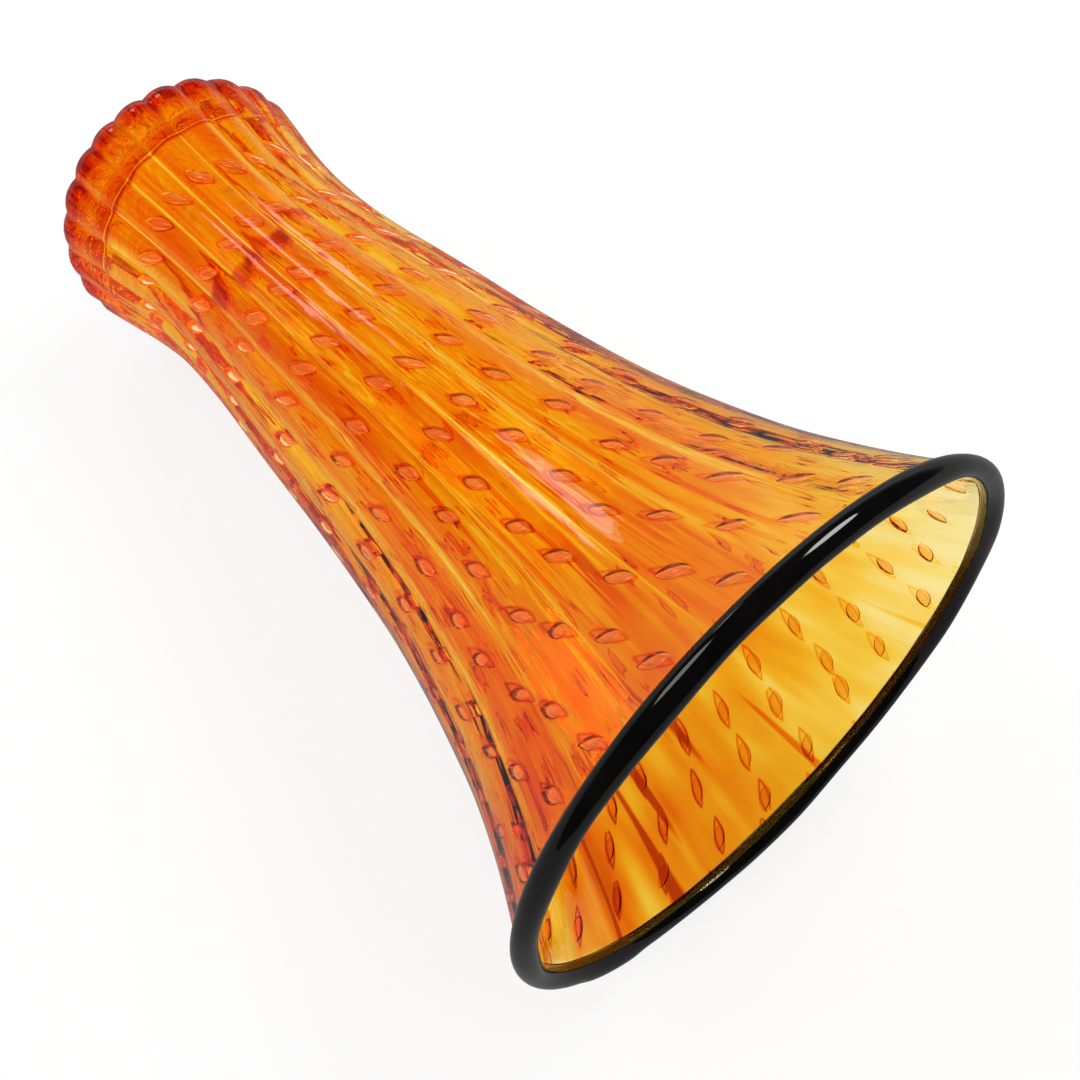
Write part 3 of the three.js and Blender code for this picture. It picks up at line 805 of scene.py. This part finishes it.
core_form = turned_tree("gather_form", amber_core, RIBBED)
core_mesh = grown_mesh(
    guide_object("gather_outline", gather_outline(), RING_VALUES), core_form, "amber_gather")
core = bpy.data.objects.new("amber_gather", core_mesh)

laid = turned_tree("laid_trail", black, {
    "Segments": SEGMENTS, "Ribs": RIBS, "Drift": 0.0, "Lap angle": TRAIL_LAP, "Lap spread": 0.22, "Seed": 6})
trail_mesh = grown_mesh(guide_object("trail_outline", trail_outline(), RING_VALUES), laid, "lip_trail")
trail = bpy.data.objects.new("lip_trail", trail_mesh)

for piece, nodes, slot in (
    (vase, ("casing",), "amber_casing_glass"),
    (core, ("gather",), "amber_gather_glass"),
    (trail, ("lip_wrap",), "black_wrap_glass"),
):
    bpy.context.scene.collection.objects.link(piece)
    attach(piece, "root")
    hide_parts(*nodes)

# Camera. Its place was fitted to the photograph; the vase stands on its foot in this frame,
# so the camera is rolled until it lies as the photograph shows it.
SIDE = Matrix.Rotation(math.radians(-17.5), 3, "Z")
RIGHT = SIDE @ Vector((-0.35258, -0.67251, 0.65071))
UP = SIDE @ Vector((0.32122, -0.74009, -0.59083))
BACK = RIGHT.cross(UP).normalized()
EYE = SIDE @ Vector((0.3290, 0.0, 0.3750))
camera = bpy.data.objects.new("camera", bpy.data.cameras.new("camera"))
SENSOR_WIDTH = 36.0
PHOTO_PIXELS, FOCAL_PIXELS = 1080.0, 1250.0
camera.data.sensor_width = SENSOR_WIDTH
camera.data.lens = SENSOR_WIDTH * FOCAL_PIXELS / PHOTO_PIXELS
camera.data.shift_x = 0.0155
camera.data.shift_y = -0.0303
camera.data.clip_start = 0.01
camera.matrix_world = Matrix.Translation(EYE) @ Matrix((RIGHT, UP, BACK)).transposed().to_4x4()
bpy.context.scene.collection.objects.link(camera)
bpy.context.scene.camera = camera

# Studio. The vase lies on a pale table, which touches the lip trail and the foot.
TABLE_UP = (SIDE @ Vector((0.92467, -0.35721, 0.13185))).normalized()
TABLE_HALF_WIDTH, TABLE_FORWARD, TABLE_GAP = 2.5, 0.15, 0.3 * MM
reach = max(v.co.dot(-TABLE_UP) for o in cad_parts.values() for v in o.data.vertices)
across = TABLE_UP.cross(Vector((0.0, 0.0, 1.0))).normalized()
down = TABLE_UP.cross(across)
middle = -TABLE_UP * (reach + TABLE_GAP) - down * TABLE_FORWARD
table_mesh = bpy.data.meshes.new("table")
corners = [
    middle + (across * x + down * y) * TABLE_HALF_WIDTH for x, y in ((-1, -1), (1, -1), (1, 1), (-1, 1))]
table_mesh.from_pydata([tuple(c) for c in corners], [], [(0, 1, 2, 3)])
if table_mesh.polygons[0].normal.dot(TABLE_UP) < 0.0:
    table_mesh.flip_normals()


def table_paint():
    """Matt white board. Part of its white is its own, so that it stays white round the shadow."""
    material = bpy.data.materials.new("matt_white_board")
    material.use_nodes = True
    tree = material.node_tree
    tree.nodes.clear()
    paint = add(tree, "ShaderNodeBsdfDiffuse", {"Color": linear("#F6F6F6")})
    glow = add(tree, "ShaderNodeEmission", {"Color": (1.0, 1.0, 1.0, 1.0), "Strength": 1.0})
    ray = add(tree, "ShaderNodeLightPath").outputs
    seen = add(tree, "ShaderNodeMath", (ray["Is Camera Ray"], 0.8), operation="MULTIPLY")
    through = add(tree, "ShaderNodeMath", (ray["Is Transmission Ray"], 0.8), operation="MULTIPLY")
    lit = add(tree, "ShaderNodeMixShader", {
        0: add(tree, "ShaderNodeMath", (seen, through), operation="MAXIMUM"), 1: paint,
        2: glow})
    mirrored = add(tree, "ShaderNodeEmission", {"Color": (1.0, 1.0, 1.0, 1.0), "Strength": 0.25})
    bounced = add(tree, "ShaderNodeMath", (
        ray["Is Glossy Ray"], ray["Is Transmission Ray"]), operation="SUBTRACT")
    lit = add(tree, "ShaderNodeMixShader", {
        0: add(tree, "ShaderNodeMath", (bounced, 0.0), operation="MAXIMUM"), 1: lit,
        2: mirrored})
    behind = add(tree, "ShaderNodeNewGeometry").outputs["Backfacing"]
    faced = add(tree, "ShaderNodeMixShader", {
        0: behind, 1: lit, 2: add(tree, "ShaderNodeBsdfTransparent")})
    add(tree, "ShaderNodeOutputMaterial", {"Surface": faced})
    return material


table_mesh.materials.append(table_paint())
table = bpy.data.objects.new("table", table_mesh)
bpy.context.scene.collection.objects.link(table)


LAMP_TARGET = Vector((0.0, 0.0, 0.17))


def softbox(name, toward, distance, width, height, power):
    """A soft lamp that faces the middle of the vase from a direction."""
    toward = toward.normalized()
    lamp = bpy.data.objects.new(name, bpy.data.lights.new(name, "AREA"))
    lamp.data.shape = "ELLIPSE"
    lamp.data.size = width
    lamp.data.size_y = height
    lamp.data.energy = power
    lamp.visible_camera = False
    turn = toward.to_track_quat("Z", "Y").to_matrix().to_4x4()
    lamp.matrix_world = Matrix.Translation(LAMP_TARGET + toward * distance) @ turn
    bpy.context.scene.collection.objects.link(lamp)


softbox("key_softbox", TABLE_UP * 0.8 + RIGHT * 0.55 + UP * 0.6, 0.9, 0.35, 0.35, 3.0)
softbox("fill_softbox", TABLE_UP * 0.9 - RIGHT * 0.7 + UP * 0.1, 1.1, 0.5, 0.5, 2.0)
# A window and the paler wall round it, so that its reflection has a soft edge
window_side = UP * 0.826 - RIGHT * 0.553 + BACK * 0.1
softbox("window_softbox", window_side, 0.98, 0.12, 0.13, 0.07)
softbox("window_wall", window_side, 0.985, 0.17, 0.21, 0.11)

# A white room that is dark only behind and above the camera, where a photographer stands
world = bpy.data.worlds.new("studio")
bpy.context.scene.world = world
world.use_nodes = True
tree = world.node_tree
tree.nodes.clear()
ray = add(tree, "ShaderNodeLightPath").outputs
toward = add(tree, "ShaderNodeTexCoord").outputs["Generated"]
dark_side = (BACK * 0.8 + TABLE_UP * 0.5 + Vector((0.0, 0.0, 0.35))).normalized()
facing = add(tree, "ShaderNodeVectorMath", {
    0: toward, 1: tuple(dark_side)}, operation="DOT_PRODUCT").outputs["Value"]
shade = add(tree, "ShaderNodeMapRange", {
    "Value": facing, "From Min": 0.2, "From Max": 0.75, "To Min": 1.0, "To Max": 0.75},
    interpolation_type="SMOOTHSTEP")
gleam = add(tree, "ShaderNodeMapRange", {
    "Value": facing, "From Min": -0.6, "From Max": 0.0, "To Min": 0.6, "To Max": 0.03},
    interpolation_type="SMOOTHSTEP")
strength = add(tree, "ShaderNodeMath", (ray["Is Transmission Ray"], shade), operation="MULTIPLY")
strength = add(tree, "ShaderNodeMath", (
    strength, add(tree, "ShaderNodeMath", (ray["Is Glossy Ray"], gleam), operation="MULTIPLY")),
    operation="MAXIMUM")
strength = add(tree, "ShaderNodeMath", (
    strength, add(tree, "ShaderNodeMath", (ray["Is Diffuse Ray"], 0.8), operation="MULTIPLY")),
    operation="MAXIMUM")
strength = add(tree, "ShaderNodeMath", (strength, ray["Is Camera Ray"]), operation="MAXIMUM")
sky = add(tree, "ShaderNodeBackground", {"Color": (1.0, 1.0, 1.0, 1.0), "Strength": strength})
add(tree, "ShaderNodeOutputWorld", {"Surface": sky})

bpy.context.scene.view_settings.view_transform = "Standard"
bpy.context.scene.cycles.max_bounces = 32
bpy.context.scene.cycles.transmission_bounces = 32
bpy.context.scene.cycles.glossy_bounces = 32
